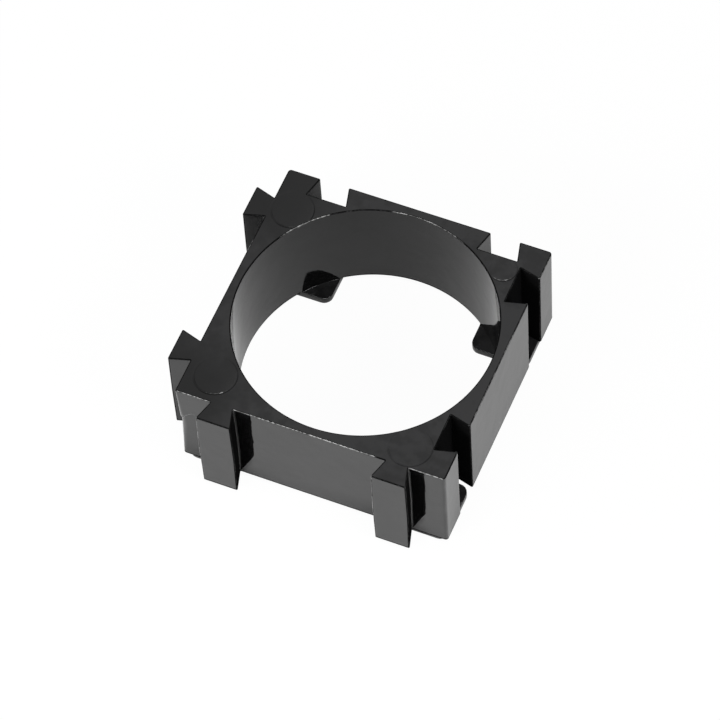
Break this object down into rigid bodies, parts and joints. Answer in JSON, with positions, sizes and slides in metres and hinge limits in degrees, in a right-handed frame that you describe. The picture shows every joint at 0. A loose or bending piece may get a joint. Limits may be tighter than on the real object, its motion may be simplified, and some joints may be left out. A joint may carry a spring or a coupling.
{
  "type": "battery cell holder bracket",
  "caption": "Square moulded bracket with a round cell bore, dovetail tongues on adjacent sides, matching grooves on the others, and stop pads under its corners.",
  "frame": {"origin": "middle of the whole footprint, tongues included, on the plane that the four stop pads stand on; the bore's axis is 1.35 mm from it along +X and along +Y", "axes": "+Z along the bore, towards the side that the cell goes in from; -Y towards the front and -X towards the left, the two sides with tongues; +X and +Y are the sides with grooves"},
  "size_m": [0.0378, 0.0378, 0.015],
  "materials": {
    "black_plastic": "black ABS from a polished mould, glossy, with faint rub marks and small nicks along its edges"
  },
  "bodies": {
    "root": {"cell_bracket": "black_plastic"}
  },
  "joints": []
}
